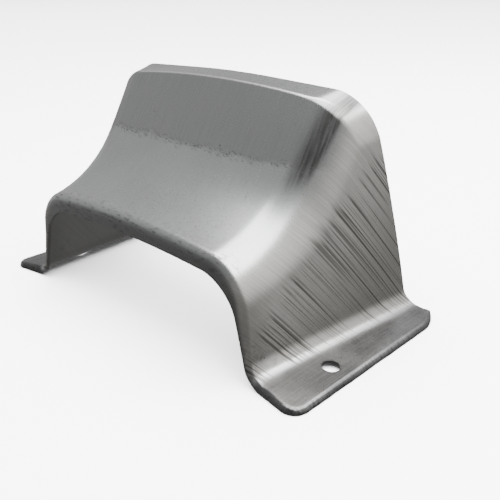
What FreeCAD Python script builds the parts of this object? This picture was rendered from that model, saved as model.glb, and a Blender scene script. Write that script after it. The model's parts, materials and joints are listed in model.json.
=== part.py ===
import FreeCAD, Part
import math
import os

import Sketcher

# Cover for the central tunnel of a scooter, pressed from one sheet of steel.
#
# X runs across the tunnel, Y along it from the low front arch to the tall open back, Z up.
# The origin is on the floor, midway between the two feet and midway along them.
#
# The sheet is the space between two forms, as in a press tool: the outer form gives the outside of the cover,
# and the inner form is the same form with every wall set in by the thickness of the sheet.
# Each form is a block with the side profile, trimmed by the leaning side walls and the collar,
# standing on a low slab for the feet, with every bend rounded.
# The front arch and the screw holes are then cut through the sheet.

SIZES = (
    ("sheet", 1.2, "thickness of the steel"),
    ("front_reach", 37, "front face of the hood, ahead of the origin"),
    ("back_reach", 39.5, "back edge at the floor, behind the origin"),
    ("back_lean", 17.5, "degrees that the back edge leans forward"),
    ("front_height", 40, "height of the hood at its front face, before the edge is rounded"),
    ("shelf_angle", 9, "degrees that the hood rises behind the front edge"),
    ("scoop_radius", 32, "hollow bend between the front shelf and the ramp"),
    ("ramp_angle", 58, "degrees that the ramp rises"),
    ("crease_reach", 5.5, "crease between ramp and collar, behind the origin"),
    ("crease_height", 79.4, "height of the crease on the centre line"),
    ("crease_radius", 4, "rounding of the crease"),
    ("collar_slope", 7.6, "degrees that the collar rises towards the back"),
    ("collar_half", 52.7, "half width of the collar's top, before its corners are rounded"),
    ("collar_splay", 18, "degrees that the collar's sides lean out"),
    ("crown_radius", 430, "crosswise curve of the ramp and the collar"),
    ("crown_fall", 5, "degrees that the crown falls at the collar's corners"),
    ("ridge_radius", 16, "rounded corner between the top and the side walls"),
    ("front_width", 114, "hood between its side walls at the floor, at the front"),
    ("front_draft", 9, "degrees that the side walls lean in at the front"),
    ("back_width", 124, "hood between its side walls at the floor, at the back"),
    ("back_draft", -1, "degrees that the side walls lean in at the back"),
    ("foot_span", 152, "over both feet"),
    ("foot_rise", 2, "height of the feet at their outer edge, before it is rounded"),
    ("foot_slope", 4, "degrees that the feet fall towards their outer edge"),
    ("foot_flare", 12, "degrees that the front of each foot slants forward"),
    ("flare_half", 60, "distance from the centre line at which the slant begins"),
    ("flare_radius", 30, "blend at the start of the slant"),
    ("front_corner", 4, "rounded front corner of each foot"),
    ("back_corner", 14, "rounded back corner of each foot"),
    ("bend_radius", 5.5, "bend from side wall to foot"),
    ("rim_radius", 1.9, "rolled edge round the feet and along the front"),
    ("arch_base", 111, "front arch at the floor"),
    ("arch_lean", 14, "degrees that the arch's legs lean in"),
    ("arch_height", 34, "front arch on the centre line"),
    ("arch_corner", 15.7, "rounded corners of the front arch"),
    ("arch_crown", 450, "crosswise curve of the arch's top"),
    ("arch_fall", 3.5, "degrees that the arch's top falls at its corners"),
    ("hole_diameter", 5.8, "clearance for a five millimetre screw"),
    ("hole_spacing", 136.6, "between the two screw holes"),
    ("hole_reach", 13.9, "screw holes, ahead of the origin"),
    ("past", 6, "how far a cut runs past the surface that it opens"),
    ("room", 30, "how far the raw block stands out past the trimmed hood"),
)

doc = FreeCAD.newDocument("TunnelCover")
sheet = doc.addObject("Spreadsheet::Sheet", "Sizes")
for row, (alias, number, meaning) in enumerate(SIZES, start=1):
    sheet.set(f"A{row}", alias)
    sheet.set(f"B{row}", str(number))
    sheet.set(f"C{row}", meaning)
    sheet.setAlias(f"B{row}", alias)
doc.recompute()

# Corners that several outlines share, as expressions on the sheet.
LENGTH = "(Sizes.front_reach + Sizes.back_reach)"
TALL = "(Sizes.crease_height + Sizes.room)"
SCOOP_Y = ("((Sizes.front_height + tan(Sizes.shelf_angle) * Sizes.front_reach - Sizes.crease_height"
           " + tan(Sizes.ramp_angle) * Sizes.crease_reach)"
           " / (tan(Sizes.ramp_angle) - tan(Sizes.shelf_angle)))")
SCOOP_Z = f"(Sizes.front_height + tan(Sizes.shelf_angle) * ({SCOOP_Y} + Sizes.front_reach))"
FAR = "(Sizes.foot_span / 2 + Sizes.room)"


def value(expression):
    """The number that an expression on the sheet comes to."""
    result = sheet.evalExpression(expression)
    return float(getattr(result, "Value", result))


def corner(x, y, radius=None):
    return x, y, radius


def set_in(x, y, first, second, depth):
    """The corner (x, y) of two walls after both are set in by depth; the angles are the walls' inward normals."""
    turn = f"sin(({second}) - ({first}))"
    across = f"({x}) + ({depth}) * (sin({second}) - sin({first})) / {turn}"
    up = f"({y}) + ({depth}) * (cos({first}) - cos({second})) / {turn}"
    return across, up


def hold(sketch, name, constraint, expression):
    index = sketch.addConstraint(constraint)
    sketch.renameConstraint(index, name)
    sketch.setExpression(f"Constraints.{name}", expression)


def hold_point(sketch, name, geometry, end, x, y):
    """Holds a point of the sketch at two expressions; a zero puts it on the sketch's own axis."""
    for axis, expression, kind, line in (("x", x, "DistanceX", -2), ("y", y, "DistanceY", -1)):
        if expression == "0":
            sketch.addConstraint(Sketcher.Constraint("PointOnObject", geometry, end, line))
        else:
            distance = Sketcher.Constraint(kind, -1, 1, geometry, end, value(expression))
            hold(sketch, f"{name}_{axis}", distance, expression)


def rounding(before, here, after, radius):
    """Where an arc of that radius meets the two lines of a corner, with its middle and its sense."""
    to_before = (before - here).normalize()
    to_after = (after - here).normalize()
    half = to_before.getAngle(to_after) / 2
    start = here + to_before * (radius / math.tan(half))
    stop = here + to_after * (radius / math.tan(half))
    middle = here + (to_before + to_after).normalize() * (radius / math.sin(half))
    turns_left = to_before.cross(to_after).z < 0
    return start, stop, middle, turns_left


def draw(sketch, corners):
    """A closed outline of straight lines, with a tangent arc at each corner that has a radius."""
    points = [FreeCAD.Vector(value(x), value(y), 0) for x, y, radius in corners]
    count = len(corners)
    bends = []
    for i, (x, y, radius) in enumerate(corners):
        if radius is None:
            bends.append(None)
        else:
            bends.append(rounding(points[i - 1], points[i], points[(i + 1) % count], value(radius)))
    starts = [bend[1] if bend else point for bend, point in zip(bends, points)]
    stops = [bend[0] if bend else point for bend, point in zip(bends, points)]
    lines = [sketch.addGeometry(Part.LineSegment(starts[i], stops[(i + 1) % count])) for i in range(count)]
    for i, (x, y, radius) in enumerate(corners):
        name = f"corner{i}"
        if radius is None:
            sketch.addConstraint(Sketcher.Constraint("Coincident", lines[i - 1], 2, lines[i], 1))
            hold_point(sketch, name, lines[i], 1, x, y)
            continue
        start, stop, middle, turns_left = bends[i]
        first, last = (start, stop) if turns_left else (stop, start)
        circle = Part.Circle(middle, FreeCAD.Vector(0, 0, 1), value(radius))
        ends = [math.atan2(p.y - middle.y, p.x - middle.x) for p in (first, last)]
        arc = sketch.addGeometry(Part.ArcOfCircle(circle, *ends))
        sketch.addConstraint(Sketcher.Constraint("Tangent", lines[i - 1], 2, arc, 1 if turns_left else 2))
        sketch.addConstraint(Sketcher.Constraint("Tangent", lines[i], 1, arc, 2 if turns_left else 1))
        hold(sketch, f"{name}_radius", Sketcher.Constraint("Radius", arc, value(radius)), radius)
        tip = sketch.addGeometry(Part.Point(points[i]), True)
        sketch.addConstraint(Sketcher.Constraint("PointOnObject", tip, 1, lines[i - 1]))
        sketch.addConstraint(Sketcher.Constraint("PointOnObject", tip, 1, lines[i]))
        hold_point(sketch, name, tip, 1, x, y)


def plane(body, role):
    return next(feature for feature in body.Origin.OriginFeatures if feature.Role == role)


def new_sketch(body, name, role, away="0"):
    """A sketch on one of the body's planes, moved along the plane's normal."""
    sketch = body.newObject("Sketcher::SketchObject", name)
    sketch.AttachmentSupport = [(plane(body, role), "")]
    sketch.MapMode = "FlatFace"
    sketch.setExpression("AttachmentOffset.Base.z", away)
    return sketch


def mirrored(body, name, feature):
    mirror = body.newObject("PartDesign::Mirrored", name)
    mirror.Originals = [feature]
    mirror.MirrorPlane = (plane(body, "YZ_Plane"), [""])
    body.Tip = mirror
    doc.recompute()
    return mirror


def through_cut(body, name, sketch):
    """Cuts the sketch's outline both ways through the whole body."""
    pocket = body.newObject("PartDesign::Pocket", name)
    pocket.Profile = sketch
    pocket.SideType = "Symmetric"
    pocket.setExpression("Length", f"4 * {FAR}")
    doc.recompute()
    return pocket


def middle_of(edge):
    return edge.valueAt((edge.FirstParameter + edge.LastParameter) / 2)


def normals(shape, edge):
    """The outward normals of the two faces that meet at an edge, at the edge's middle."""
    at = middle_of(edge)
    faces = shape.ancestorsOfType(edge, Part.Face)
    return [face.normalAt(*face.Surface.parameter(at)) for face in faces]


def fillet(body, name, base, wanted, radius):
    """Rounds the edges of the base that the test picks, by their middle and the two normals that meet there."""
    shape = base.Shape
    picked = []
    for number, edge in enumerate(shape.Edges, start=1):
        meeting = normals(shape, edge)
        if len(meeting) == 2 and wanted(middle_of(edge), *meeting):
            picked.append(f"Edge{number}")
    feature = body.newObject("PartDesign::Fillet", name)
    feature.Base = (base, picked)
    feature.setExpression("Radius", radius)
    doc.recompute()
    return feature


def behind_back(depth):
    """Side view of all that lies behind the leaning back, set in by depth."""
    low = "-Sizes.room"
    high = f"({TALL} + Sizes.past)"
    far = "Sizes.back_reach + 2 * Sizes.room"
    edge = f"Sizes.back_reach - {depth} / cos(Sizes.back_lean)"
    return (
        corner(f"{edge} - ({low}) * tan(Sizes.back_lean)", low),
        corner(far, low),
        corner(far, high),
        corner(f"{edge} - {high} * tan(Sizes.back_lean)", high),
    )


def form(name, depth):
    """The outer form, or the inner one set in by depth, with its underside on the floor."""
    body = doc.addObject("PartDesign::Body", name)
    body.Label = name

    # Side profile: front face, shelf, hollow scoop and ramp, turned about a low axis along the tunnel,
    # which gives the ramp its crosswise crown.
    side = new_sketch(body, f"{name}_side", "YZ_Plane")
    front = set_in("-Sizes.front_reach", "Sizes.front_height", "0", "Sizes.shelf_angle - 90", depth)
    scoop = set_in(SCOOP_Y, SCOOP_Z, "Sizes.shelf_angle - 90", "Sizes.ramp_angle - 90", depth)
    ramp_top = f"Sizes.crease_reach + Sizes.room / tan(Sizes.ramp_angle) + {depth} / sin(Sizes.ramp_angle)"
    behind = "Sizes.back_reach + Sizes.room"
    bottom = "-Sizes.past"
    draw(side, (
        corner(front[0], bottom),
        corner(*front),
        corner(*scoop, f"Sizes.scoop_radius + {depth}"),
        corner(ramp_top, TALL),
        corner(behind, TALL),
        corner(behind, bottom),
    ))
    low = value("Sizes.crease_height - Sizes.crown_radius")
    ends = [FreeCAD.Vector(y, low, 0) for y in (0, value(LENGTH))]
    axis = side.addGeometry(Part.LineSegment(*ends), True)
    hold_point(side, "axis_start", axis, 1, "0", "Sizes.crease_height - Sizes.crown_radius")
    hold_point(side, "axis_stop", axis, 2, LENGTH, "Sizes.crease_height - Sizes.crown_radius")
    block = body.newObject("PartDesign::Revolution", f"{name}_block")
    block.Profile = side
    block.ReferenceAxis = (side, ["Axis0"])
    block.Midplane = True
    block.setExpression("Angle", f"2 * asin({FAR} / (Sizes.crown_radius - Sizes.crease_height))")
    doc.recompute()

    # Side walls and underside: what lies outside them is lofted away between a station ahead of the front
    # and one behind the back, so that the walls twist from their lean at the front to their lean at the back.
    stations = []
    under = "-Sizes.room"
    over = f"({TALL} + Sizes.past)"
    outside = f"2 * {FAR}"
    for end, away, share in (
        ("front", "Sizes.front_reach + Sizes.past", f"-Sizes.past / {LENGTH}"),
        ("back", "-(Sizes.back_reach + Sizes.room + Sizes.past)", f"1 + (Sizes.room + Sizes.past) / {LENGTH}"),
    ):
        walls = []
        for height in ("0", over):
            at_front = f"(Sizes.front_width / 2 - ({height}) * tan(Sizes.front_draft))"
            at_back = f"(Sizes.back_width / 2 - ({height}) * tan(Sizes.back_draft))"
            walls.append(f"({at_front} + ({at_back} - {at_front}) * ({share}) - {depth})")
        station = new_sketch(body, f"{name}_{end}_station", "XZ_Plane", away)
        draw(station, (
            corner(f"-{outside}", under),
            corner(outside, under),
            corner(outside, over),
            corner(walls[1], over),
            corner(walls[0], "0"),
            corner(f"-{walls[0]}", "0"),
            corner(f"-{walls[1]}", over),
            corner(f"-{outside}", over),
        ))
        stations.append(station)
    doc.recompute()
    walls = body.newObject("PartDesign::SubtractiveLoft", f"{name}_walls")
    walls.Profile = stations[0]
    walls.Sections = [stations[1]]
    walls.Ruled = True
    doc.recompute()

    # Rounded ridges where the shelf, the scoop and the ramp meet the side walls.
    def on_ridge(at, first, second):
        sideways = max(abs(first.x), abs(second.x))
        upward = max(first.z, second.z)
        rear = max(first.y, second.y)
        front_facing = min(first.y, second.y)
        return sideways > 0.9 and upward > 0.4 and rear < 0.9 and front_facing > -0.95 and at.z < value(TALL) - 1
    ridges = fillet(body, f"{name}_ridges", walls, on_ridge, f"Sizes.ridge_radius - {depth}")

    # Collar: the hood above its crowned top and outside its splayed sides is cut away along the collar's slope.
    collar = new_sketch(body, f"{name}_collar_section", "XZ_Plane", "-Sizes.crease_reach")
    collar.setExpression("AttachmentOffset.Base.y", "Sizes.crease_height")
    collar.AttachmentOffset = FreeCAD.Placement(
        FreeCAD.Vector(0, value("Sizes.crease_height"), -value("Sizes.crease_reach")),
        FreeCAD.Rotation(FreeCAD.Vector(1, 0, 0), value("Sizes.collar_slope")))
    collar.setExpression("AttachmentOffset.Rotation.Angle", "Sizes.collar_slope")
    peak = "Sizes.crown_radius * (1 / cos(Sizes.crown_fall) - 1)"
    top = f"{peak} - {depth} / cos(Sizes.crown_fall)"
    shoulder = set_in("Sizes.collar_half", f"{peak} - Sizes.collar_half * tan(Sizes.crown_fall)",
                      "-90 - Sizes.crown_fall", "180 + Sizes.collar_splay", depth)
    drop = "Sizes.crease_height / 2"
    hem = (f"({shoulder[0]}) + {drop} * tan(Sizes.collar_splay)", f"({shoulder[1]}) - {drop}")
    bend = f"Sizes.ridge_radius - {depth}"
    above = "2 * Sizes.room"
    draw(collar, (
        corner(f"-2 * {FAR}", hem[1]),
        corner(f"-({hem[0]})", hem[1]),
        corner(f"-({shoulder[0]})", shoulder[1], bend),
        corner("0", top, f"Sizes.crown_radius - {depth}"),
        corner(*shoulder, bend),
        corner(*hem),
        corner(f"2 * {FAR}", hem[1]),
        corner(f"2 * {FAR}", above),
        corner(f"-2 * {FAR}", above),
    ))
    doc.recompute()
    trimmed = through_cut(body, f"{name}_collar", collar)

    # Feet: a low slab with a slanted front, rounded outer corners and its inner end inside the hood.
    # Its top falls towards the outer edge.
    foot = new_sketch(body, f"{name}_foot_plan", "XY_Plane")
    inner_end = "Sizes.front_width / 4"
    slant = "(Sizes.foot_span / 2 - Sizes.flare_half) * tan(Sizes.foot_flare)"
    knee = set_in("Sizes.flare_half", "-Sizes.front_reach", "90", "90 - Sizes.foot_flare", depth)
    toe = set_in("Sizes.foot_span / 2", f"-Sizes.front_reach - {slant}", "90 - Sizes.foot_flare", "180", depth)
    heel = set_in("Sizes.foot_span / 2", "Sizes.back_reach + Sizes.back_corner / 4", "180", "270", depth)
    draw(foot, (
        corner(inner_end, knee[1]),
        corner(*knee, f"Sizes.flare_radius + {depth}"),
        corner(*toe, f"Sizes.front_corner - {depth}"),
        corner(*heel, f"Sizes.back_corner - {depth}"),
        corner(inner_end, heel[1]),
    ))
    doc.recompute()
    top = body.newObject("PartDesign::Plane", f"{name}_foot_top")
    top.AttachmentSupport = [(plane(body, "XY_Plane"), "")]
    top.MapMode = "FlatFace"
    top.AttachmentOffset = FreeCAD.Placement(
        FreeCAD.Vector(0, 0, 0),
        FreeCAD.Rotation(FreeCAD.Vector(0, 1, 0), value("Sizes.foot_slope")))
    top.setExpression("AttachmentOffset.Base.x", "Sizes.foot_span / 2")
    top.setExpression("AttachmentOffset.Base.z", f"Sizes.foot_rise - {depth} / cos(Sizes.foot_slope)")
    top.setExpression("AttachmentOffset.Rotation.Angle", "Sizes.foot_slope")
    doc.recompute()
    slab = body.newObject("PartDesign::Pad", f"{name}_foot")
    slab.Profile = foot
    slab.Type = "UpToFace"
    slab.UpToFace = (top, [""])
    doc.recompute()
    feet = mirrored(body, f"{name}_feet", slab)

    # Open back: a cut that leans forward.
    back = new_sketch(body, f"{name}_back_edge", "YZ_Plane")
    draw(back, behind_back(depth))
    doc.recompute()
    opened = through_cut(body, f"{name}_back", back)

    # Crease round the collar.
    def on_crease(at, first, second):
        high = at.z > value("0.6 * Sizes.crease_height")
        return high and max(first.y, second.y) < 0.9 and first.getAngle(second) > math.radians(5)
    creased = fillet(body, f"{name}_crease", opened, on_crease, f"Sizes.crease_radius - {depth}")

    # Bend from each side wall out to its foot.
    def on_bend(at, first, second):
        upward = max(first.z, second.z)
        on_foot = abs(upward - value("cos(Sizes.foot_slope)")) < 0.0001
        inboard = abs(at.x) < value("(Sizes.front_width + Sizes.foot_span) / 4")
        return on_foot and inboard and max(abs(first.x), abs(second.x)) > 0.9
    bent = fillet(body, f"{name}_bend", creased, on_bend, f"Sizes.bend_radius + {depth}")

    # Rolled edge along the front of the hood, down its legs and round the feet.
    def on_rim(at, first, second):
        upright = [abs(normal.z) < 0.0001 for normal in (first, second)]
        limit = value(f"Sizes.back_reach - {depth} / cos(Sizes.back_lean)")
        ahead = at.y + at.z * value("tan(Sizes.back_lean)") < limit - 0.05
        above = at.z > 0.1
        return ahead and above and upright.count(True) == 1 and first.getAngle(second) > math.radians(20)
    rolled = fillet(body, f"{name}_rim", bent, on_rim, f"Sizes.rim_radius - {depth}")
    return body, rolled


def flat_faces(feature, through, outward):
    """The names of the flat faces of a feature that lie on a plane and look outward."""
    names = []
    for number, face in enumerate(feature.Shape.Faces, start=1):
        on_plane = all(abs((vertex.Point - through).dot(outward)) < 0.001 for vertex in face.Vertexes)
        at = face.Surface.parameter(face.CenterOfMass)
        if on_plane and face.normalAt(*at).dot(outward) > 0.9999:
            names.append(f"Face{number}")
    return names


def run_out(body, name, base, through, outward, along):
    """Carries the flat faces on a plane straight on, past the outside of the cover."""
    pad = body.newObject("PartDesign::Pad", name)
    pad.Profile = (base, flat_faces(base, through, outward))
    pad.UseCustomVector = True
    pad.Direction = along
    pad.setExpression("Length", "Sizes.past")
    doc.recompute()
    return pad


cover, outside = form("tunnel_cover", "0")
hollow, inside = form("inner_form", "Sizes.sheet")

# The inner form runs out through the floor and through the back, where the cover is open.
down = FreeCAD.Vector(0, 0, -1)
below = run_out(hollow, "inner_form_below", inside, FreeCAD.Vector(0, 0, 0), down, down)
lean = math.radians(value("Sizes.back_lean"))
backward = FreeCAD.Vector(0, math.cos(lean), math.sin(lean))
foot_of_back = FreeCAD.Vector(0, value("Sizes.back_reach - Sizes.sheet / cos(Sizes.back_lean)"), 0)
behind = run_out(hollow, "inner_form_behind", below, foot_of_back, backward, FreeCAD.Vector(0, 1, 0))

# At the heels it stays closed, so that the rolled edge keeps its thickness round the back corner of each foot.
heel_side = new_sketch(hollow, "heel_side", "YZ_Plane", FAR)
draw(heel_side, behind_back("Sizes.sheet"))
doc.recompute()
heel = hollow.newObject("PartDesign::Pocket", "heel")
heel.Profile = heel_side
heel.setExpression("Length", f"{FAR} - Sizes.foot_span / 2 + 3 / 4 * Sizes.back_corner")
doc.recompute()
heels = mirrored(hollow, "heels", heel)

shell = cover.newObject("PartDesign::Boolean", "sheet_shell")
shell.Type = "Cut"
shell.setObjects([hollow])
doc.recompute()

# Front arch, cut through the front wall only.
arch = new_sketch(cover, "arch_outline", "XZ_Plane", "Sizes.front_reach + Sizes.past")
tip = "(Sizes.arch_height + Sizes.arch_crown * (1 / cos(Sizes.arch_fall) - 1))"
arch_half = (f"((Sizes.arch_base / 2 - {tip} * tan(Sizes.arch_lean))"
             " / (1 - tan(Sizes.arch_fall) * tan(Sizes.arch_lean)))")
arch_side = f"({tip} - {arch_half} * tan(Sizes.arch_fall))"
arch_low = "(Sizes.arch_base / 2 + Sizes.past * tan(Sizes.arch_lean))"
draw(arch, (
    corner(f"-{arch_low}", "-Sizes.past"),
    corner(arch_low, "-Sizes.past"),
    corner(arch_half, arch_side, "Sizes.arch_corner"),
    corner("0", tip, "Sizes.arch_crown"),
    corner(f"-{arch_half}", arch_side, "Sizes.arch_corner"),
))
doc.recompute()
opening = cover.newObject("PartDesign::Pocket", "front_arch")
opening.Profile = arch
opening.setExpression("Length", "Sizes.past + 2 * Sizes.rim_radius")
doc.recompute()

# One screw hole through each foot.
spot = new_sketch(cover, "hole_spot", "XY_Plane",
                  "Sizes.foot_rise + (Sizes.foot_span - Sizes.hole_spacing) * tan(Sizes.foot_slope)")
centre = FreeCAD.Vector(value("Sizes.hole_spacing / 2"), value("-Sizes.hole_reach"), 0)
ring = spot.addGeometry(Part.Circle(centre, FreeCAD.Vector(0, 0, 1), value("Sizes.hole_diameter / 2")))
hold(spot, "hole_size", Sketcher.Constraint("Diameter", ring, value("Sizes.hole_diameter")), "Sizes.hole_diameter")
hold_point(spot, "hole", ring, 3, "Sizes.hole_spacing / 2", "-Sizes.hole_reach")
doc.recompute()
hole = cover.newObject("PartDesign::Hole", "screw_hole")
hole.Profile = spot
hole.DepthType = "ThroughAll"
hole.setExpression("Diameter", "Sizes.hole_diameter")
doc.recompute()
holes = mirrored(cover, "screw_holes", hole)

for item in doc.Objects:
    if "Invalid" in item.State or "Error" in item.State:
        raise RuntimeError(f"{item.Name} did not compute")
if cover.Shape.isNull() or not cover.Shape.isValid() or len(cover.Shape.Solids) != 1:
    raise RuntimeError("the cover is not one sound solid")

os.makedirs("parts", exist_ok=True)
cover.Shape.exportStep(f"parts/{cover.Label}.step")
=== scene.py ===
# %% [markdown]
# # Scooter central tunnel cover
# The real object is one sheet of bare steel, pressed to sit over the hump in a scooter's floor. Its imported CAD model
# is loaded first and stays the fixed frame. The sheet could be that solid with a new finish, but thin steel lives from
# its highlights, so it is built again as one smooth surface, with +Z up. Most sizes are the solid's own. The scoop,
# the crease, the collar and the legs' lower corners were shaped a little further here.

# %% Load the frame
import json
import math

import bmesh
import bpy
import numpy as np
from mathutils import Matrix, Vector

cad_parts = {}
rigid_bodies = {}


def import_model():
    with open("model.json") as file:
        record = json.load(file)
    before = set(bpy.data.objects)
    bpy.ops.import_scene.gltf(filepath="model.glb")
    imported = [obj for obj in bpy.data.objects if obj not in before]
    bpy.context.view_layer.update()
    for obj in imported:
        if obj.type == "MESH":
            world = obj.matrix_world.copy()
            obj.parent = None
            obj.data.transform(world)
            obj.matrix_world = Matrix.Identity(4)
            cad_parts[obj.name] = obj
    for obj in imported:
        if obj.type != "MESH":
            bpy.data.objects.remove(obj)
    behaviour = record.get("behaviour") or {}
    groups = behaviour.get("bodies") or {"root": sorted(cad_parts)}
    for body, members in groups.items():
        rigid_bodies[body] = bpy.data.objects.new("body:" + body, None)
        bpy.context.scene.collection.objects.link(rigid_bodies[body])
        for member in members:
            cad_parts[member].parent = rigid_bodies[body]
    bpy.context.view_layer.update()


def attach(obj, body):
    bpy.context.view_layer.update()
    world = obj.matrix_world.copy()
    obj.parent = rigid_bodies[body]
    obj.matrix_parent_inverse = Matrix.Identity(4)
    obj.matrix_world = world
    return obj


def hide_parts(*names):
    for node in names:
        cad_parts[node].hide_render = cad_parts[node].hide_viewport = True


for leftover in list(bpy.data.objects):
    bpy.data.objects.remove(leftover)
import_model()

# %% [markdown]
# ## The press tool
# The sheet gets its shape from a press tool. It could be modelled by hand as a subdivision surface, but then each bend
# would only be nearly round. Here the tool is a set of distances in millimetres: each function says how far a point
# lies outside one of the tool's faces. That gives smooth normals everywhere, which broad highlights need most.
#
# In side view the top of the hood is a shelf, a hollow scoop and a steep ramp. Two straight lines and an arc give that
# line, and a running average lets them flow into each other, as drawn steel does.

# %% Centre line of the hood
FRONT, BACK = -37.0, 39.5
SHELF, RAMP = math.radians(9.0), math.radians(58.0)
FRONT_HEIGHT, SCOOP = 40.0, 43.0
CREASE_Y, CREASE_Z = 5.5, 79.4
TABLE_REACH, TABLE_STEP = 80.0, 0.05
FLOW, FLOW_STEPS = 2.4, 160
scoop_y = ((FRONT_HEIGHT - math.tan(SHELF) * FRONT - CREASE_Z + math.tan(RAMP) * CREASE_Y)
           / (math.tan(RAMP) - math.tan(SHELF)))
scoop_run = SCOOP * math.tan((RAMP - SHELF) / 2)
scoop_start = scoop_y - scoop_run * math.cos(SHELF)
scoop_stop = scoop_y + scoop_run * math.cos(RAMP)
scoop_mid_y = scoop_start - SCOOP * math.sin(SHELF)
scoop_mid_z = FRONT_HEIGHT + math.tan(SHELF) * (scoop_start - FRONT) + SCOOP * math.cos(SHELF)
table_y = np.arange(-TABLE_REACH, TABLE_REACH, TABLE_STEP)
on_arc = np.clip(table_y - scoop_mid_y, 0.0, SCOOP * 0.99)
table_z = np.where(table_y < scoop_start, FRONT_HEIGHT + math.tan(SHELF) * (table_y - FRONT),
                   np.where(table_y > scoop_stop, CREASE_Z + math.tan(RAMP) * (table_y - CREASE_Y),
                            scoop_mid_z - np.sqrt(SCOOP ** 2 - on_arc ** 2)))
bell = np.exp(-0.5 * (np.arange(-FLOW_STEPS, FLOW_STEPS + 1) * TABLE_STEP / FLOW) ** 2)
padded = np.pad(table_z, FLOW_STEPS, mode="reflect", reflect_type="odd")
table_z = np.convolve(padded, bell / bell.sum(), mode="valid")
table_slope = np.gradient(table_z, TABLE_STEP)


def profile(y):
    """Height and slope of the hood's centre line."""
    return np.interp(y, table_y, table_z), np.interp(y, table_y, table_slope)


print("scoop runs from y", round(scoop_start, 1), "to", round(scoop_stop, 1), "mm")

# %% [markdown]
# The top of the hood is slightly crowned from side to side. The side walls twist: they lean in at the front and out at
# the back. A twisted wall could be lofted between two edges. As a distance it is one line whose lean changes with y.

# %% Faces of the hood
CROWN = 430.0
WALL_FRONT = (57.0, math.tan(math.radians(9.0)))
WALL_BACK = (62.0, math.tan(math.radians(-1.0)))


def wall_at(y, z):
    """Half width and lean of the twisted side walls."""
    share = (y - FRONT) / (BACK - FRONT)
    base = WALL_FRONT[0] + (WALL_BACK[0] - WALL_FRONT[0]) * share
    lean = WALL_FRONT[1] + (WALL_BACK[1] - WALL_FRONT[1]) * share
    return base - lean * z, lean


def past_top(x, y, z):
    axis = CREASE_Z - CROWN
    height, slope = profile(y)
    return (np.sqrt(x ** 2 + (z - axis) ** 2) + axis - height) / np.sqrt(1 + slope ** 2)


def past_wall(x, y, z):
    half, lean = wall_at(y, z)
    return (np.abs(x) - half) / np.sqrt(1 + lean ** 2)


print("walls are", WALL_FRONT[0], "mm from the middle in front and", WALL_BACK[0], "mm behind")

# %% [markdown]
# Behind the crease the sheet turns into a collar that is cut along a leaning plane. It rises gently, falls to both
# sides and opens a little towards the back. It could be a second loft; as two more distances it meets the hood in a
# crease that can be rounded later with any radius.

# %% Faces of the collar
LEAN = math.tan(math.radians(17.5))
COLLAR, COLLAR_DEEP = math.radians(7.6), 9.0
SHOULDER, SHOULDER_OUT, SPLAY = 52.7, 1.7, math.radians(18.0)
FALL, FALL_LESS = math.radians(5.0), math.radians(2.5)


def collar_at(y, z):
    """Height above the collar's tilted plane, and the collar's fall and half width there."""
    up = (z - CREASE_Z) * math.cos(COLLAR) - (y - CREASE_Y) * math.sin(COLLAR)
    share = np.clip(1 - (BACK - LEAN * z - y) / COLLAR_DEEP, -0.5, 1.0)
    return up, FALL - FALL_LESS * share, SHOULDER + SHOULDER_OUT * share


def past_collar_top(x, y, z):
    up, fall, _ = collar_at(y, z)
    peak = CROWN * (1 / np.cos(fall) - 1)
    curved = np.sqrt(x ** 2 + (up + CROWN) ** 2) - CROWN
    straight = (up - peak + np.abs(x) * np.tan(fall)) * np.cos(fall)
    return np.where(np.abs(x) < CROWN * np.sin(fall), curved, straight)


def past_collar_side(x, y, z):
    up, fall, half = collar_at(y, z)
    shoulder = CROWN * (1 / np.cos(fall) - 1) - half * np.tan(fall)
    return (np.abs(x) - half - (shoulder - up) * math.tan(SPLAY)) * math.cos(SPLAY)


print("collar is", round(2 * (SHOULDER + SHOULDER_OUT), 1), "mm wide at the back")

# %% [markdown]
# Pressed steel has no sharp edges: the ridges between top and walls are broad, and the crease is tight. A bevel on the
# finished mesh would have one width for all of it. Joining the distances gives each bend its true radius instead.

# %% Bends between the faces
RIDGE, COLLAR_TURN = 16.0, math.radians(67.0)


def rounded(first, second, reach):
    """Two faces joined by a bend; reach is the radius times one less the cosine of the turn between them."""
    reach = np.maximum(reach, 1e-6)
    inside = np.minimum(np.maximum(first, second), -reach)
    return inside + np.hypot(np.maximum(first + reach, 0.0), np.maximum(second + reach, 0.0))


def hood(x, y, z, ridge):
    return rounded(past_top(x, y, z), past_wall(x, y, z), ridge)


def collar(x, y, z):
    return rounded(past_collar_top(x, y, z), past_collar_side(x, y, z), RIDGE * (1 - math.cos(COLLAR_TURN)))


def normal_of(distance, x, y, z, *more):
    step = 0.01
    slopes = [distance(x + step * i, y + step * j, z + step * k, *more)
              - distance(x - step * i, y - step * j, z - step * k, *more)
              for i, j, k in ((1, 0, 0), (0, 1, 0), (0, 0, 1))]
    return np.stack(slopes) / np.linalg.norm(np.stack(slopes), axis=0)


def turn(radius, first, second):
    """The reach of a bend, from its radius and the normals of its two faces."""
    return radius * (1 - np.clip((first * second).sum(0), -1.0, 1.0))


print("ridges have a radius of", RIDGE, "mm")

# %% [markdown]
# ## The sheet as a grid
# The sheet could be found with marching cubes, but that gives an untidy mesh. A grid of rows across the tunnel keeps
# clean lines for the highlights. Seen from above, its front edge is straight, flares at the feet and rounds off at the
# toes, and the feet fall a little to their outer edge.

# %% Front edge and feet
FOOT_HALF, FOOT_RISE, FALL_OUT = 76.0, 2.0, math.radians(4.0)
ROLL, LIP_ROLL, TOE = 1.9, 2.6, 4.0
FLARE_X, FLARE, FLARE_SOFT = 60.0, math.tan(math.radians(12.0)), 1.4


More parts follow.
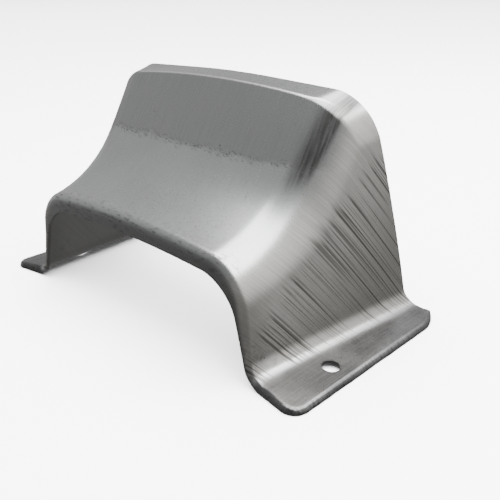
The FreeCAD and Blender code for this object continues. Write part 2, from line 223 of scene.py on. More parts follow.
def front_edge(x, upness, radius):
    """Where the rolled front edge begins, seen from above."""
    flare = FLARE * FLARE_SOFT * np.log1p(np.exp(np.clip((np.abs(x) - FLARE_X) / FLARE_SOFT, -40, 40)))
    toe = np.clip(np.abs(x) - FOOT_HALF + ROLL + TOE, 0.0, TOE)
    return FRONT + radius * (1 - math.sin(SHELF) * upness) - flare + TOE - np.sqrt(TOE ** 2 - toe ** 2)


def foot_z(x):
    return FOOT_RISE + (FOOT_HALF - np.abs(x)) * math.tan(FALL_OUT)


print("foot is", round(float(foot_z(FLARE_X)), 2), "mm high at x", FLARE_X)

# %% [markdown]
# Row by row, the cutting plane tips from upright at the front to the lean of the back edge. Even rows would be too
# coarse for the tight crease, so they stand closer together there.

# %% Rows from front to back
ROWS = 170
DENSE_AT, DENSE_WIDTH, DENSE_MORE = 0.79, 0.07, 2.2
ladder = np.linspace(0.0, 1.0, 2001)
closeness = np.cumsum(1 + DENSE_MORE * np.exp(-((ladder - DENSE_AT) / DENSE_WIDTH) ** 2))
closeness = (closeness - closeness[0]) / (closeness[-1] - closeness[0])
along = np.interp(np.linspace(0.0, 1.0, ROWS), closeness, ladder)[:, None]


def plane_y(z, start):
    """Y of a row's cutting plane at height z, for a row that starts at the given front edge."""
    return start + along * (BACK - LEAN * z - start)


print(ROWS, "rows, the closest", round(float(np.diff(along[:, 0]).min() * (BACK - FRONT)), 2), "mm apart")

# %% [markdown]
# In each row, rays run from inside the hood to the tool's surface, and halving steps find where they meet it. The
# bends depend on the angle between the faces, so the rays are solved twice: first with a sharp crease and rough
# ridges, then with the true bends. The crease is tightest in the middle and opens towards its ends.

# %% Rays to the tool
CREASE, CREASE_SIDE = 1.5, 4.5
CREASE_OPENS, CREASE_OPEN_RUN = 34.0, 20.0
RAY, HALVINGS = 70.0, 34


def smooth(share):
    share = np.clip(share, 0.0, 1.0)
    return share * share * (3 - 2 * share)


def solve(origin_x, origin_z, way_x, way_z, start):
    """Points where the rays meet the hood and collar."""
    def at(reach):
        x, z = origin_x + way_x * reach, origin_z + way_z * reach
        return x, plane_y(z, start), z

    def bisect(distance):
        low, high = np.zeros_like(origin_x * along), np.full_like(origin_x * along, RAY)
        for _ in range(HALVINGS):
            middle = (low + high) / 2
            outside = distance(*at(middle)) > 0
            low, high = np.where(outside, low, middle), np.where(outside, middle, high)
        return (low + high) / 2

    spot = at(bisect(lambda x, y, z: np.maximum(hood(x, y, z, RIDGE), collar(x, y, z))))
    ridge = turn(RIDGE, normal_of(past_top, *spot), normal_of(past_wall, *spot))
    open_share = smooth((np.abs(spot[0]) - CREASE_OPENS) / CREASE_OPEN_RUN)
    radius = CREASE + (CREASE_SIDE - CREASE) * open_share
    crease = turn(radius, normal_of(hood, *spot, ridge), normal_of(collar, *spot))
    return at(bisect(lambda x, y, z: rounded(hood(x, y, z, ridge), collar(x, y, z), crease)))


RAY_START = 20.0
zero = np.zeros((ROWS, 1))
lip = front_edge(zero, 1.0, LIP_ROLL)
top_z = solve(zero, zero + RAY_START, zero, zero + 1.0, lip)[2]
print("hood is", round(float(top_z[0, 0]), 1), "mm high in front and", round(float(top_z.max()), 1), "mm at most")

# %% [markdown]
# Under the top the rays run straight up, and under the ridges they fan out, so that the bend gets evenly turned
# columns. One parallel set of rays would leave the ridge with only a few long faces.

# %% Top and ridges
N_TOP, N_FAN = 24, 26
FAN_DOWN, FAN_IN = 20.0, 21.0
fan_z = top_z - FAN_DOWN
fan_x = wall_at(plane_y(fan_z, lip), fan_z)[0] - FAN_IN
steps = np.linspace(0.0, 1.0, N_TOP + 1)[None, :-1]
top = solve(fan_x * steps, fan_z + 0 * steps, 0 * steps + zero, 1 + 0 * steps + zero, lip + 0 * steps)
angles = np.radians(np.linspace(90.0, 0.0, N_FAN + 1))[None, :-1]
fan = solve(fan_x + 0 * angles, fan_z + 0 * angles, np.cos(angles) + zero, np.sin(angles) + zero,
            front_edge(0 * angles, np.sin(angles), LIP_ROLL))
print("top and ridge of one side:", N_TOP + N_FAN, "columns")

# %% [markdown]
# Down the side walls the rays run level. At the bottom each wall turns outwards into its foot with a round bend. That
# bend touches a straight wall and a straight foot, so its centre is worked out and no rays are needed for it.

# %% Side walls
N_WALL, BEND = 38, 6.0
base_y = plane_y(FOOT_RISE + BEND, front_edge(zero, 0.0, ROLL))
half, lean = wall_at(base_y, 0.0)
tilt = np.arctan(lean)
foot_zero = foot_z(0.0) + BEND / math.cos(FALL_OUT)
bend_x = (half - lean * foot_zero + BEND / np.cos(tilt)) / (1 - lean * math.tan(FALL_OUT))
bend_z = foot_z(bend_x) + BEND / math.cos(FALL_OUT)
steps = np.linspace(0.0, 1.0, N_WALL + 1)[None, :-1]
wall_roll = LIP_ROLL + (ROLL - LIP_ROLL) * smooth(steps)
wall_start = front_edge(0 * steps, 0.0, wall_roll)
wall_z = fan_z + (bend_z - BEND * np.sin(tilt) - fan_z) * steps
wall_y = plane_y(wall_z, wall_start)
wall_x = solve(fan_x + 0 * steps, wall_z, 1 + 0 * steps + zero, 0 * steps + zero, wall_start)[0]
print("wall of one side:", N_WALL, "columns")

# %% [markdown]
# The feet are flat, with their columns a little closer at the outer edge. At the back the foot ends in a rounded heel,
# where the rolled edge starts again.

# %% Bends and feet
N_BEND, N_FOOT, FOOT_CLOSER = 10, 12, 1.4
HEEL, HEEL_BACK = 14.0, 0.75
HEEL_ROLL_X, HEEL_ROLL_RUN = 69.0, 5.0
steps = np.linspace(0.0, 1.0, N_BEND + 1)[None, :-1]
angles = (math.pi + tilt) + (math.pi / 2 - FALL_OUT - tilt) * steps
curl_x, curl_z = bend_x + BEND * np.cos(angles), bend_z + BEND * np.sin(angles)
steps = 1 - (1 - np.linspace(0.0, 1.0, N_FOOT + 1)[None, :]) ** FOOT_CLOSER
foot_start = bend_x - BEND * math.sin(FALL_OUT)
foot_x = foot_start + (FOOT_HALF - ROLL - foot_start) * steps
low_x, low_z = np.hstack([curl_x, foot_x]), np.hstack([curl_z, foot_z(foot_x)])


def heel_share(x):
    """How far the rolled edge has grown along the heel."""
    return smooth((np.abs(x) - HEEL_ROLL_X) / HEEL_ROLL_RUN)


def back_edge(x, z):
    """Where the sheet ends at the back: along the leaning plane, then round the heel."""
    radius = HEEL - ROLL * heel_share(x)
    arc = np.sqrt(np.maximum(radius ** 2 - np.maximum(np.abs(x) - FOOT_HALF + HEEL, 0.0) ** 2, 0.0))
    return np.minimum(BACK - LEAN * z, BACK - HEEL_BACK * HEEL + arc)


low_start = front_edge(low_x, 0.0, ROLL)
low_y = low_start + along * (back_edge(low_x, low_z) - low_start)
print("bend and foot of one side:", low_x.shape[1], "columns")

# %% [markdown]
# One half is now known column by column. The other half, which is mostly out of sight, is taken to be its mirror image.
# Mirroring the points before there is a mesh leaves no seam in the middle that would have to be merged.

# %% Both halves as one grid


def both_sides(columns, sign=1.0):
    return np.hstack([sign * columns[:, :0:-1], columns])


grid = np.stack([both_sides(np.hstack([top[0], fan[0], wall_x, low_x]), -1.0),
                 both_sides(np.hstack([top[1], fan[1], wall_y, low_y])),
                 both_sides(np.hstack([top[2], fan[2], wall_z, low_z]))], axis=-1)
front_roll = np.hstack([np.full(N_TOP + N_FAN, LIP_ROLL), wall_roll[0], np.full(N_BEND + N_FOOT + 1, ROLL)])
front_roll = both_sides(front_roll[None, :])[0]
rows_n, cols_n = grid.shape[:2]
print("grid of", rows_n, "by", cols_n, "points")

# %% [markdown]
# ## The rolled edge
# The border of the sheet is rolled down along the front arch, down the legs and round the feet, and fades out at the
# heels. A bevelled curve could follow it, but would stay a piece of its own. Here a path is walked along the grid's
# border, so that the roll grows out of the sheet without a seam.

# %% Border path
HEEL_PATH_X = 69.1


def unit(v):
    return v / np.linalg.norm(v, axis=-1, keepdims=True)


column_normals = unit(np.cross(np.gradient(grid, axis=1), np.gradient(grid, axis=0)))
heel_right = next(c for c in range(cols_n) if grid[-1, c, 0] > HEEL_PATH_X)
heel_left = cols_n - 1 - heel_right
border = [(rows_n - 1, c) for c in range(heel_left, 0, -1)]
border += [(r, 0) for r in range(rows_n - 1, 0, -1)]
border += [(0, c) for c in range(cols_n - 1)]
border += [(r, cols_n - 1) for r in range(rows_n - 1)]
border += [(rows_n - 1, c) for c in range(cols_n - 1, heel_right - 1, -1)]
edge_points = np.array([grid[r, c] for r, c in border])
edge_normals = np.array([column_normals[r, c] for r, c in border])
mid_front = len(border) // 2
if edge_normals[mid_front, 2] < 0:
    edge_normals = -edge_normals
outward = unit(np.cross(unit(np.gradient(edge_points, axis=0)), edge_normals))
if outward[mid_front, 1] > 0:
    outward = -outward
print("border of", len(border), "points")

# %% [markdown]
# The turned down border reaches the floor at the feet, and above them it ends at the outline of the front arch: two
# leaning legs and a slightly crowned top, joined by round corners. A boolean cut would leave ragged faces there. The
# depth is measured at each point of the border instead, by stepping inwards until the arch or the floor is met.

# %% Depth of the turned down border
ARCH_BASE, ARCH_LEAN, ARCH_TOP = 55.5, math.tan(math.radians(14.0)), 34.0
ARCH_CORNER, ARCH_CROWN, ARCH_FALL = 15.7, 450.0, math.tan(math.radians(3.5))
ARCH_TURN, ARCH_HEM = math.radians(72.5), 6.0
DEEPEST, DEPTH_STEP = 14.0, 0.02


def in_arch(x, z):
    hem = ARCH_HEM - np.sqrt(ARCH_HEM ** 2 - np.clip(ARCH_HEM - z, 0.0, ARCH_HEM) ** 2)
    leg = (np.abs(x) - ARCH_BASE + ARCH_LEAN * z - hem) * math.cos(math.atan(ARCH_LEAN))
    flat = np.minimum(np.abs(x), ARCH_CROWN * ARCH_FALL)
    crown = ARCH_TOP - flat ** 2 / (2 * ARCH_CROWN) - (np.abs(x) - flat) * ARCH_FALL
    return rounded(leg, z - crown, ARCH_CORNER * (1 - math.cos(ARCH_TURN))) < 0


inward = -edge_normals
on_front = np.array([r == 0 for r, c in border])
inward[on_front, 1] = 0.0
inward = unit(inward)
depth = edge_points[:, 2].copy()
tries = np.arange(0.0, DEEPEST, DEPTH_STEP)
for i in np.nonzero(on_front)[0]:
    try_x = edge_points[i, 0] + inward[i, 0] * tries
    try_z = edge_points[i, 2] + inward[i, 2] * tries
    depth[i] = tries[np.argmax(in_arch(try_x, try_z) | (try_z < 0.0))]
print("border is", round(float(depth[mid_front]), 2), "mm deep in the middle of the arch")

# %% [markdown]
# At the heels the rolled edge runs out into the plain cut of the back. A roll that shrinks would become tighter than
# the steel is thick and fold on its inner side, so it keeps its radius and only turns less and less.

# %% Roll that runs out at the heels
at_heel = np.array([r == rows_n - 1 for r, c in border])
roll = np.array([front_roll[c] for r, c in border])
share = heel_share(edge_points[:, 0])
turned = roll * (1 - np.sqrt(1 - share ** 2)) + np.maximum(depth - roll, 0.0) * share ** 4
depth = np.where(at_heel, turned, depth)
print("roll has a radius from", roll.min(), "to", roll.max(), "mm")

# %% [markdown]
# The turned down edge of the feet is slightly wavy, as pressing can leave it. A noise texture could shift the points,
# but sums of a few seeded sines along the border are easier to keep small, and they leave the arch alone.

# %% Waves in the border
ROLL_WAVE, DEPTH_WAVE = 0.05, 0.16
WAVES_FROM_X, WAVES_RUN = 62.0, 6.0
random = np.random.default_rng(7)
length = np.concatenate([[0.0], np.cumsum(np.linalg.norm(np.diff(edge_points, axis=0), axis=1))])


def waves(shortest, longest, count):
    total = np.zeros(len(length))
    for wave in np.geomspace(shortest, longest, count):
        shift = random.uniform(0, 2 * math.pi)
        total += np.sin(length * 2 * math.pi / wave + shift) * (wave / longest) ** 0.5
    return total / np.abs(total).max()


on_foot = np.clip((np.abs(edge_points[:, 0]) - WAVES_FROM_X) / WAVES_RUN, 0.0, 1.0)
roll = roll * (1 - ROLL_WAVE * (1 + waves(5.0, 24.0, 5)) * on_foot)
depth = depth - DEPTH_WAVE * (1 + waves(2.5, 17.0, 6)) * on_foot * (~at_heel)
print("waves along", round(float(length[-1])), "mm of border")

# %% [markdown]
# At each point of the path the sheet turns from its outward direction to its inner side, then runs straight on. The
# path turns sharply at the toes. There the roll gets extra steps that fan out from one point of the grid, so that it
# sweeps round the toe as a round corner.

# %% Sweep the border
N_ROLL, SHORT_LIP = 7, 0.3
FAN_STEP = math.radians(12.0)


def safe_acos(value):
    return math.acos(max(-1.0, min(1.0, float(value))))


def rolled_column(start, out, down, radius, deep):
    """Points of the rolled edge from one point of the border to its lip."""
    out, down = unit(out), unit(down)
    side = unit(down - out * float(out @ down))
    full = safe_acos(out @ down)
    curved = radius * (1 - math.cos(full))
    last = full if deep > curved else safe_acos(1 - deep / radius)
    column = [start + radius * (math.sin(a) * out + (1 - math.cos(a)) * side)
              for a in np.linspace(0.0, last, N_ROLL + 1)[1:]]
    straight = max(deep - curved, 0.0) / math.sin(full)
    end = column[-1] + down * straight
    if straight < SHORT_LIP:
        column[-1] = end
    return column + [end]


ways = (outward, inward, roll, depth)
swept = []
for i in range(len(border)):
    swept.append((i, rolled_column(edge_points[i], *(way[i] for way in ways))))
    if i + 1 < len(border):
        extra = int(safe_acos(outward[i] @ outward[i + 1]) / FAN_STEP)
        for k in range(1, extra + 1):
            f = k / (extra + 1)
            nearest = i if f < 0.5 else i + 1
            between = (way[i] * (1 - f) + way[i + 1] * f for way in ways)
            swept.append((nearest, rolled_column(edge_points[nearest], *between)))
print("border swept in", len(swept), "steps")

# %% [markdown]
# ## One mesh
# Blender works in metres, so the points shrink by a thousand here. Each point also carries marks that the steel's
# finish reads later: how far it belongs to a wall, to a foot, to the rim or to the crest of the crease. Painted masks
# could do that too, but marks from the shape itself need no UV map and always fit. The finish reads the rim mark for
# nicks and painted shade, and the crest mark for a painted highlight.

# %% Points and their marks
MM = 0.001
WALL_NORMAL, WALL_NORMAL_RUN = 0.55, 0.37
CREST_WIDTH, CREST_END, CREST_FADE = 0.3, 50.0, 8.0
bm = bmesh.new()
marks = {name: bm.verts.layers.float.new(name) for name in ("wall", "foot", "rim", "crest_highlight")}
verts = [[bm.verts.new(p * MM) for p in line] for line in grid]
wall_share = smooth((np.abs(column_normals[..., 0]) - WALL_NORMAL) / WALL_NORMAL_RUN)
# The crest mark says where a highlight is painted along the tight crease.
crest_highlight_share = np.exp(-((hood(*grid.T, RIDGE) - collar(*grid.T)) / CREST_WIDTH) ** 2).T
crest_highlight_share = crest_highlight_share * smooth((CREST_END - np.abs(grid[..., 0])) / CREST_FADE)
foot_columns = N_TOP + N_FAN + N_WALL
for r in range(rows_n):
    for c in range(cols_n):
        past_bend = (abs(c - cols_n // 2) - foot_columns) / N_BEND
        verts[r][c][marks["foot"]] = float(smooth(past_bend))
        verts[r][c][marks["wall"]] = float(wall_share[r, c])
        verts[r][c][marks["crest_highlight"]] = float(crest_highlight_share[r, c])
print("sheet has", len(bm.verts), "points")

# %% [markdown]
# Faces between the rows make the sheet, and faces between the steps of the sweep make its rolled edge, from the very
# same border points. Where the roll has almost run out, its points lie on top of each other and are merged.

# %% Faces of sheet and edge
ROLL_RIM, LIP_RIM = 0.7, 1.0
MERGE, TOO_SMALL = 0.00005, 0.00001
for r in range(rows_n - 1):
    for c in range(cols_n - 1):
        bm.faces.new((verts[r][c], verts[r][c + 1], verts[r + 1][c + 1], verts[r + 1][c]))
previous = None
for index, column in swept:
    first = verts[border[index][0]][border[index][1]]
    line = [first] + [bm.verts.new(p * MM) for p in column]
    for k, v in enumerate(line[1:], start=1):
        v[marks["foot"]], v[marks["wall"]] = first[marks["foot"]], first[marks["wall"]]
        # The rim mark grows over the roll; where it is high the finish paints shade, and on the feet it carries nicks.
        v[marks["rim"]] = ROLL_RIM * k / N_ROLL if k <= N_ROLL else LIP_RIM
    if previous:
        for k in range(N_ROLL + 1):
            corners = [previous[k], previous[k + 1], line[k + 1], line[k]]
            bm.faces.new(corners[:3] if corners[0] is corners[3] else corners)
    previous = line
bmesh.ops.remove_doubles(bm, verts=bm.verts, dist=MERGE)
bmesh.ops.dissolve_degenerate(bm, edges=bm.edges, dist=TOO_SMALL)
print("sheet and edge have", len(bm.faces), "faces")

# %% [markdown]
# Each foot has a punched screw hole. A boolean would cut the grid into slivers. Instead the faces near the hole are
# taken out, and the gap is closed with triangles up to a true circle. Two fingers walk round the gap and the circle,
# and the one that lags behind makes the next triangle.

# %% Screw holes
HOLE_X, HOLE_Y, HOLE_RADIUS, HOLE_STEPS = 68.3, -13.9, 2.9, 56
HOLE_MARGIN, HOLE_HIGH = 0.0003, 0.0012
GAP_REACH, GAP_HIGH = 0.008, 0.0014
HOLE_RIM = 0.9
for side in (-1, 1):
    centre = Vector((side * HOLE_X, HOLE_Y, foot_z(HOLE_X))) * MM
    punched = [f for f in bm.faces
               if any((v.co - centre).xy.length < HOLE_RADIUS * MM + HOLE_MARGIN for v in f.verts)
               and abs(f.calc_center_median().z - centre.z) < HOLE_HIGH]
    bmesh.ops.delete(bm, geom=punched, context="FACES")
    gap = {v for e in bm.edges if e.is_boundary for v in e.verts
           if (v.co - centre).xy.length < GAP_REACH and abs(v.co.z - centre.z) < GAP_HIGH}
    ring = bmesh.ops.create_circle(bm, cap_ends=False, radius=HOLE_RADIUS * MM, segments=HOLE_STEPS)["verts"]
    for v in ring:
        v.co += centre
        v.co.z = foot_z(v.co.x * 1000) * MM
        # The ring gets a high rim mark, so the finish paints shade into the hole.
        v[marks["foot"]], v[marks["rim"]] = 1.0, HOLE_RIM
    loops = [sorted((math.atan2(v.co.y - centre.y, v.co.x - centre.x), v.index, v) for v in loop)
             for loop in (gap, ring)]
    fingers = [0, 0]
    for _ in range(len(gap) + len(ring)):
        ends = [loop[(finger + 1) % len(loop)][0] + (2 * math.pi if finger + 1 >= len(loop) else 0.0)
                for loop, finger in zip(loops, fingers)]
        gap_next = fingers[1] >= len(ring) or (fingers[0] < len(gap) and ends[0] < ends[1])
        which = 0 if gap_next else 1
        outer, inner = (loop[finger % len(loop)][2] for loop, finger in zip(loops, fingers))
        fingers[which] += 1
        bm.faces.new((outer, loops[which][fingers[which] % len(loops[which])][2], inner))
    print("screw hole closed to a circle from", len(gap), "points")

# %% [markdown]
# The finished surface becomes an object at the origin, unturned and unscaled, like the CAD model's own node.

# %% The sheet as an object
mesh = bpy.data.meshes.new("pressed_sheet")
bm.to_mesh(mesh)
bm.free()
cover = bpy.data.objects.new("pressed_sheet", mesh)
bpy.context.scene.collection.objects.link(cover)
print("sheet surface has", len(mesh.polygons), "faces")

# %% [markdown]
# ## Press waviness
# No press leaves a sheet quite even, and long highlights waver on real drawn steel. A bump map would show that only
# in the shading. A geometry node group really lowers the surface by a few hundredths of a millimetre along its
# normal. Its sizes are named inputs, and its noise has a fixed seed.

# %% Node group for the waviness
WAVINESS = {"Depth": 0.00007, "Wave size": 0.011, "Seed": 3.0}
MIRRORED, INWARD = -1.0, -1.0
uneven = bpy.data.node_groups.new("press_waviness", "GeometryNodeTree")
uneven.interface.new_socket("Geometry", in_out="INPUT", socket_type="NodeSocketGeometry")
for label, amount in WAVINESS.items():
    uneven.interface.new_socket(label, in_out="INPUT", socket_type="NodeSocketFloat").default_value = amount
uneven.interface.new_socket("Geometry", in_out="OUTPUT", socket_type="NodeSocketGeometry")
steel = bpy.data.materials.new("bare_steel")
nodes, join = uneven.nodes, uneven.links.new
start, stop = nodes.new("NodeGroupInput"), nodes.new("NodeGroupOutput")
position, facing = nodes.new("GeometryNodeInputPosition"), nodes.new("GeometryNodeInputNormal")
noise = nodes.new("ShaderNodeTexNoise")
noise.noise_dimensions = "4D"
noise.inputs["Detail"].default_value = 1.0
noise_scale, lowered = nodes.new("ShaderNodeMath"), nodes.new("ShaderNodeMath")
noise_scale.operation, lowered.operation = "DIVIDE", "MULTIPLY"
noise_scale.inputs[0].default_value = MIRRORED
along_normal, into_sheet = nodes.new("ShaderNodeVectorMath"), nodes.new("ShaderNodeVectorMath")
along_normal.operation, into_sheet.operation = "SCALE", "SCALE"
into_sheet.inputs["Scale"].default_value = INWARD
move, real, coat = (nodes.new("GeometryNode" + kind)
                    for kind in ("SetPosition", "RealizeInstances", "SetMaterial"))
coat.inputs["Material"].default_value = steel
print("waviness group has", len(nodes), "nodes")

# %% [markdown]
# The links run from the position through the noise to the offset of each point. The noise is read in steps of one
# wave size, and in the mirrored direction, which only changes where its waves lie. The offset always points into the
# sheet, so that the part can't grow past its size.

# %% Link the waviness
join(position.outputs[0], noise.inputs["Vector"])
join(start.outputs["Seed"], noise.inputs["W"])
join(start.outputs["Wave size"], noise_scale.inputs[1])
join(noise_scale.outputs[0], noise.inputs["Scale"])
join(noise.outputs[0], lowered.inputs[0])
join(start.outputs["Depth"], lowered.inputs[1])
join(facing.outputs[0], along_normal.inputs[0])
join(lowered.outputs[0], along_normal.inputs["Scale"])
join(along_normal.outputs[0], into_sheet.inputs[0])
join(start.outputs["Geometry"], move.inputs["Geometry"])
join(into_sheet.outputs[0], move.inputs["Offset"])
join(move.outputs[0], real.inputs[0])
join(real.outputs[0], coat.inputs["Geometry"])
join(coat.outputs[0], stop.inputs[0])
press = cover.modifiers.new("press_waviness", "NODES")
press.node_group = uneven
for item in uneven.interface.items_tree:
    if item.in_out == "INPUT" and item.name in WAVINESS:
        press[item.identifier] = WAVINESS[item.name]
print("waviness group has", len(uneven.links), "links")

# %% [markdown]
# A modifier only shows a result. The export needs plain mesh, so the result is read back as the object's own mesh and
# the modifier is taken off.

# %% Settle the waviness


def settle(holder):
    """Turns the object's modifiers into plain mesh."""
    made = bpy.data.meshes.new_from_object(holder.evaluated_get(bpy.context.evaluated_depsgraph_get()))
    holder.modifiers.clear()
    holder.data = made
    return made


surface = settle(cover)
print("waviness on", len(surface.vertices), "points")

# %% [markdown]
# ## Thickness
# The surface gets the thickness of the steel on its inner side, and its cut edges stay crisp, as shears leave them.
# A copy pushed inwards by hand would need its edges stitched, which Solidify does by itself. It adds the inner points
# after the outer ones, so they are easy to mark. The inner side is taken to be duller, with fewer marks, and gets
# painted shade.

# %% Thickness of the steel
SHEET, CRISP = 1.2, math.radians(38.0)
outer_count = len(surface.vertices)
solid = cover.modifiers.new("thickness", "SOLIDIFY")
solid.thickness = SHEET * MM
solid.offset = -1.0
solid.use_even_offset = True
thick = settle(cover)
inside = thick.attributes.new("inside", "FLOAT", "POINT")
inside.data.foreach_set("value", (np.arange(len(thick.vertices)) >= outer_count).astype(np.float32))
for v in thick.vertices:
    v.co.z = max(v.co.z, 0.0)
thick.set_sharp_from_angle(angle=CRISP)
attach(cover, "root")
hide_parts("tunnel_cover")
triangles = sum(len(p.vertices) - 2 for p in thick.polygons)
print("sheet with thickness:", len(thick.polygons), "faces,", triangles, "triangles")

# %% [markdown]
# ## Bare steel
# Steel straight from the press has no coat, so all its looks come from how the surface was worked. A photographed
# texture would need a UV map. The finish is wired from the sheet's own coordinates and marks instead. These helpers
# keep each step of the wiring on one line.

# %% Helpers for the steel
steel.use_nodes = True
tree = steel.node_tree
shader = tree.nodes["Principled BSDF"]


def wire(kind, *inputs, output=0, **options):
    """A shader node with its inputs in order, as numbers or links, giving one of its outputs."""
    made = tree.nodes.new("ShaderNode" + kind)
    for label, choice in options.items():
        setattr(made, label, choice)
    for socket, value in zip(made.inputs, inputs):
        if isinstance(value, bpy.types.NodeSocket):
            tree.links.new(value, socket)
        elif value is not None:
            socket.default_value = value
    return made.outputs[output]


def math_node(operation, *inputs):
    return wire("Math", *inputs, operation=operation)


def plus(first, second):
    return math_node("ADD", first, second)


def less(first, second):
    return math_node("SUBTRACT", first, second)


def times(*factors):
    total = factors[0]
    for factor in factors[1:]:
        total = math_node("MULTIPLY", total, factor)
    return total


def ramp(value, low, high, first=0.0, last=1.0):
    """A soft step from first to last, while the value goes from low to high."""
    return wire("MapRange", value, low, high, first, last, interpolation_type="SMOOTHSTEP")


print("steel starts with", len(tree.nodes), "nodes")

# %% [markdown]
# Noise makes most marks. Where a mark is long and thin, the noise is read in coordinates that change quickly across it
# and slowly along it. The marks of the mesh come in as attributes, and the place in millimetres comes from Object
# coordinates, which stay with the part when it is moved.

# %% Places and marks on the steel


def grain(u, v, w, size, detail=2.0):
    """Noise in coordinates of its own."""
    return wire("TexNoise", wire("CombineXYZ", u, v, w), None, size, detail, 0.55)


def mark(label):
    return wire("Attribute", attribute_name=label, output=2)


place = wire("VectorMath", wire("TexCoord", output=3), None, None, 1000.0, operation="SCALE")
axes = tree.nodes.new("ShaderNodeSeparateXYZ")
tree.links.new(place, axes.inputs[0])
x, y, z = axes.outputs
out_side = math_node("ABSOLUTE", x)
wall, foot, rim, inner, crest_highlight = (mark(label) for label in ("wall", "foot", "rim", "inside", "crest_highlight"))
off_wall, off_foot = less(1.0, wall), less(1.0, foot)
top_side = times(off_wall, off_foot)
cloud = wire("TexNoise", place, None, 0.05, 4.0, 0.6)
fine = wire("TexNoise", place, None, 0.9, 3.0, 0.6)
print("steel has", len(tree.nodes), "nodes with its places and marks")

# %% [markdown]
# On the side walls the steel was drawn down and back over the edge of the die, which scored long slanted lines into
# it. They begin on an uneven line below the ridge, run into the foot and come in bunches. Two sizes of thin noise make
# them. The left and right walls read it in different places, so that they don't mirror each other.

# %% Draw marks on the walls
MARK_ACROSS, MARK_ALONG, SIDE_SHIFT = 0.75, 0.66, 40.0
across_marks = plus(times(y, MARK_ACROSS), times(z, MARK_ALONG))
along_marks = less(times(y, MARK_ALONG), times(z, MARK_ACROSS))
slow = times(along_marks, 0.006)
hand = times(math_node("SIGN", x), SIDE_SHIFT)
drawn_zone = times(ramp(out_side, 51.0, 55.0), ramp(z, 2.4, 4.5))
begin = math_node("MULTIPLY_ADD", grain(across_marks, 0.0, hand, 0.4, 3.0), 16.0, -44.0)
begun = ramp(less(along_marks, begin), 0.0, 7.0)
bunch = ramp(grain(across_marks, slow, times(hand, 3.0), 0.085), 0.36, 0.58)


def score_lines(size, side, least):
    """Thin lines along the marks, from a noise that changes almost only across them."""
    lines = math_node("MULTIPLY_ADD", bunch, 0.07, grain(across_marks, slow, side, size, 0.0))
    return ramp(lines, least, least + 0.07)


thin_lines = times(score_lines(2.3, times(hand, 2.0), 0.63), 0.75)
scored = math_node("MAXIMUM", score_lines(1.15, hand, 0.64), thin_lines)
scored = times(scored, begun, drawn_zone, math_node("MULTIPLY_ADD", inner, -0.8, 1.0))
streaks = times(ramp(grain(across_marks, slow, hand, 2.6), 0.35, 0.65), wall)
shaded = times(ramp(along_marks, -34.0, 6.0), drawn_zone)
print("steel has", len(tree.nodes), "nodes with its draw marks")

# %% [markdown]
# Along the top and the feet the sheet was brushed lengthwise. Where the hollow scoop ends, the tool left a speckled
# line, and the ramp above it is darker. A dark band beside the ridge is a painted reflection, with fine lines in it.

# %% Brush lines and ramp
SCOOP_LINE_Z = 60.5
brush = grain(x, plus(times(y, 0.02), times(z, 0.02)), 0.0, 2.1, 3.0)
wobble = wire("TexNoise", place, None, 0.12, 3.0, 0.6)
height = plus(less(z, SCOOP_LINE_Z), times(wobble, 5.0))
upper = times(ramp(height, -0.8, 1.2), top_side)
scoop_line = times(less(ramp(height, -1.6, -0.2), ramp(height, 0.4, 2.2)), top_side)
strokes = grain(times(x, 0.45), math_node("MULTIPLY_ADD", x, 0.6, times(height, 2.0)), y, 1.1)
speckle = times(scoop_line, ramp(strokes, 0.48, 0.66))
by_ridge = math_node("MULTIPLY_ADD", z, -0.15, plus(out_side, 9.75))
# Painted reflection: a dark band beside the ridge, where the steel mirrors a dark part of the room.
painted_corner_reflection = times(ramp(by_ridge, 43.5, 48.5), ramp(by_ridge, 52.8, 50.6), ramp(z, 50.0, 58.0))
band_lines = grain(x, times(y, 0.05), times(z, 0.05), 1.3, 3.0)
painted_corner_reflection = times(painted_corner_reflection, ramp(band_lines, 0.3, 0.6, 0.55, 1.0))
brushed = times(ramp(brush, 0.4, 0.65), off_wall, ramp(plus(upper, foot), 0.0, 1.0, 0.5, 1.3))
print("steel has", len(tree.nodes), "nodes with its brush lines")

# %% [markdown]
# The front edge was dragged over the die and is scuffed. Small dark pits are spread over the sheet, and are denser on
# the collar's shoulders, where rust has begun. The legs are stained low down, and the rim of the feet is nicked. The
# walls also get painted shade towards the front edge and down the legs.

# %% Scuffs, pits and stains
dragged = times(ramp(y, -30.0, -35.0), off_wall, off_foot)
scuffs = times(dragged, ramp(grain(times(x, 0.3), y, z, 1.0, 4.0), 0.5, 0.68))
pits = times(ramp(wire("TexVoronoi", place, None, 0.14), 0.06, 0.025), ramp(cloud, 0.5, 0.56))
rusted = times(ramp(out_side, 44.0, 50.0), ramp(z, 68.0, 74.0), ramp(y, 4.0, 7.0))
rust_pits = times(rusted, ramp(wire("TexVoronoi", place, None, 0.55), 0.16, 0.06), ramp(fine, 0.48, 0.56))
pits = math_node("MAXIMUM", pits, rust_pits)
# Painted shade: the walls darken towards the front edge and down the legs.
leg_shade = times(ramp(y, -24.0, -35.0), ramp(z, 36.0, 18.0), wall)
nicks = times(ramp(rim, 0.02, 0.2), foot, ramp(grain(times(x, 0.1), y, 0.0, 1.5), 0.48, 0.62))
blotch = wire("TexNoise", place, None, 0.22, 5.0, 0.65)
stain = times(ramp(blotch, 0.52, 0.66), ramp(y, -18.0, -30.0), ramp(z, 26.0, 8.0))
print("steel has", len(tree.nodes), "nodes with its scuffs")

# %% [markdown]
# The colour starts as a cool grey on the top and a warmer one on the walls. Then the marks are laid over it one by one,
# like glazes, each with its own share and tone. Some glazes are painted light and shade: a painted highlight along the
# tight crease, a painted dark reflection beside the ridge, and painted shade on the fronts of the legs, the rolled rim,
# the screw holes and the inner side.

# %% Colour of the steel
TOP_GREY, WALL_GREY = (0.375, 0.39, 0.385), (0.5, 0.485, 0.46)


